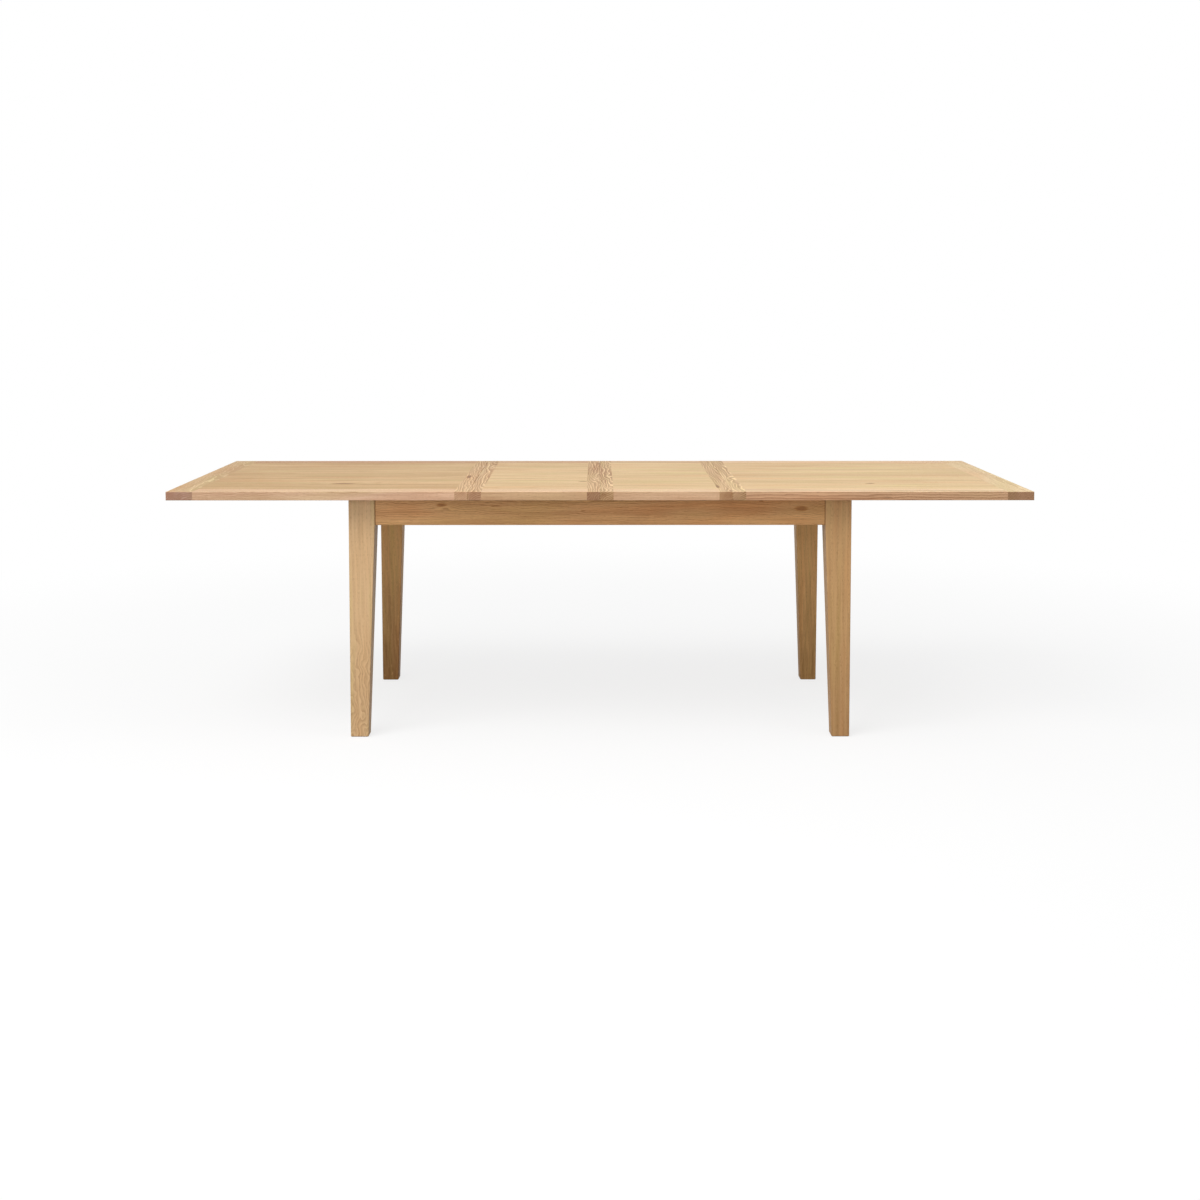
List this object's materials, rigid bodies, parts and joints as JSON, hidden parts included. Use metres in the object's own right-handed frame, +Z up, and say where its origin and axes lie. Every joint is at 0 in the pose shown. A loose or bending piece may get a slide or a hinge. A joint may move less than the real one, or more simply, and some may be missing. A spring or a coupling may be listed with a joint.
{
  "type": "extending dining table",
  "caption": "Rectangular oak dining table on tapered legs, with a split sliding top and loose leaves in the middle, shown pulled out.",
  "frame": {"origin": "on the floor under the middle of the table, pulled out", "axes": "+X along the table, +Y across it towards the back, +Z up"},
  "size_m": [2.62, 1, 0.772],
  "materials": {
    "oak_panel": "satin lacquer",
    "oak_rail": "satin lacquer",
    "oak_leg": "satin lacquer",
    "oak_apron": "satin lacquer",
    "beech": "planed, unfinished",
    "zinc_steel": "zinc plated",
    "nylon_pad": "matte",
    "felt_pad": "felt"
  },
  "bodies": {
    "root": {"back_apron": "oak_apron", "back_guide_rail": "beech", "corner_block_back_left": "beech", "corner_block_back_right": "beech", "corner_block_front_left": "beech", "corner_block_front_right": "beech", "foot_pads": "felt_pad", "frame_screws": "zinc_steel", "front_apron": "oak_apron", "front_guide_rail": "beech", "left_end_apron": "oak_apron", "left_slat": "beech", "leg_back_left": "oak_leg", "leg_back_right": "oak_leg", "leg_bolts": "zinc_steel", "leg_front_left": "oak_leg", "leg_front_right": "oak_leg", "middle_slat": "beech", "right_end_apron": "oak_apron", "right_slat": "beech", "slide_pads": "nylon_pad"},
    "left_top": {"left_top_back_rail": "oak_rail", "left_top_back_runner": "beech", "left_top_catch_plates": "zinc_steel", "left_top_end_rail": "oak_rail", "left_top_front_rail": "oak_rail", "left_top_front_runner": "beech", "left_top_panel": "oak_panel", "left_top_runner_screws": "zinc_steel", "left_top_seam_rail": "oak_rail"},
    "left_leaf": {"left_leaf_back_rail": "oak_rail", "left_leaf_catch_plates": "zinc_steel", "left_leaf_front_rail": "oak_rail", "left_leaf_left_rail": "oak_rail", "left_leaf_panel": "oak_panel", "left_leaf_pegs": "beech", "left_leaf_right_rail": "oak_rail"},
    "right_leaf": {"right_leaf_back_rail": "oak_rail", "right_leaf_catch_plates": "zinc_steel", "right_leaf_front_rail": "oak_rail", "right_leaf_left_rail": "oak_rail", "right_leaf_panel": "oak_panel", "right_leaf_pegs": "beech", "right_leaf_right_rail": "oak_rail"},
    "right_top": {"right_top_back_rail": "oak_rail", "right_top_back_runner": "beech", "right_top_catch_plates": "zinc_steel", "right_top_end_rail": "oak_rail", "right_top_front_rail": "oak_rail", "right_top_front_runner": "beech", "right_top_panel": "oak_panel", "right_top_runner_screws": "zinc_steel", "right_top_seam_rail": "oak_rail"},
    "left_leaf_back_hook": {"left_leaf_back_hook": "zinc_steel"},
    "left_leaf_front_hook": {"left_leaf_front_hook": "zinc_steel"},
    "left_top_back_hook": {"left_top_back_hook": "zinc_steel"},
    "left_top_front_hook": {"left_top_front_hook": "zinc_steel"},
    "right_leaf_back_hook": {"right_leaf_back_hook": "zinc_steel"},
    "right_leaf_front_hook": {"right_leaf_front_hook": "zinc_steel"}
  },
  "joints": [
    {"name": "left_top_slide", "type": "slide", "parent": "root", "child": "left_top", "axis": [1, 0, 0], "range_m": [0, 0.4]},
    {"name": "right_top_slide", "type": "slide", "parent": "root", "child": "right_top", "axis": [-1, 0, 0], "range_m": [0, 0.4]},
    {"name": "left_leaf_lift", "type": "slide", "parent": "root", "child": "left_leaf", "axis": [0, 0, 1], "range_m": [0, 0.4]},
    {"name": "right_leaf_lift", "type": "slide", "parent": "root", "child": "right_leaf", "axis": [0, 0, 1], "range_m": [0, 0.4]},
    {"name": "left_leaf_back_hook_swing", "type": "hinge", "parent": "left_leaf", "child": "left_leaf_back_hook", "pos_m": [-0.02, 0.15, 0.7423], "axis": [0, 0, 1], "range_deg": [0, 90]},
    {"name": "left_leaf_front_hook_swing", "type": "hinge", "parent": "left_leaf", "child": "left_leaf_front_hook", "pos_m": [-0.02, -0.15, 0.7423], "axis": [0, 0, 1], "range_deg": [0, 90]},
    {"name": "left_top_back_hook_swing", "type": "hinge", "parent": "left_top", "child": "left_top_back_hook", "pos_m": [-0.42, 0.15, 0.7423], "axis": [0, 0, 1], "range_deg": [0, 90]},
    {"name": "left_top_front_hook_swing", "type": "hinge", "parent": "left_top", "child": "left_top_front_hook", "pos_m": [-0.42, -0.15, 0.7423], "axis": [0, 0, 1], "range_deg": [0, 90]},
    {"name": "right_leaf_back_hook_swing", "type": "hinge", "parent": "right_leaf", "child": "right_leaf_back_hook", "pos_m": [0.38, 0.15, 0.7423], "axis": [0, 0, 1], "range_deg": [0, 90]},
    {"name": "right_leaf_front_hook_swing", "type": "hinge", "parent": "right_leaf", "child": "right_leaf_front_hook", "pos_m": [0.38, -0.15, 0.7423], "axis": [0, 0, 1], "range_deg": [0, 90]}
  ],
  "couplings": [
    {"joint": "left_leaf_lift", "follows": "left_top_slide", "ratio": 1},
    {"joint": "right_leaf_lift", "follows": "right_top_slide", "ratio": 1}
  ]
}
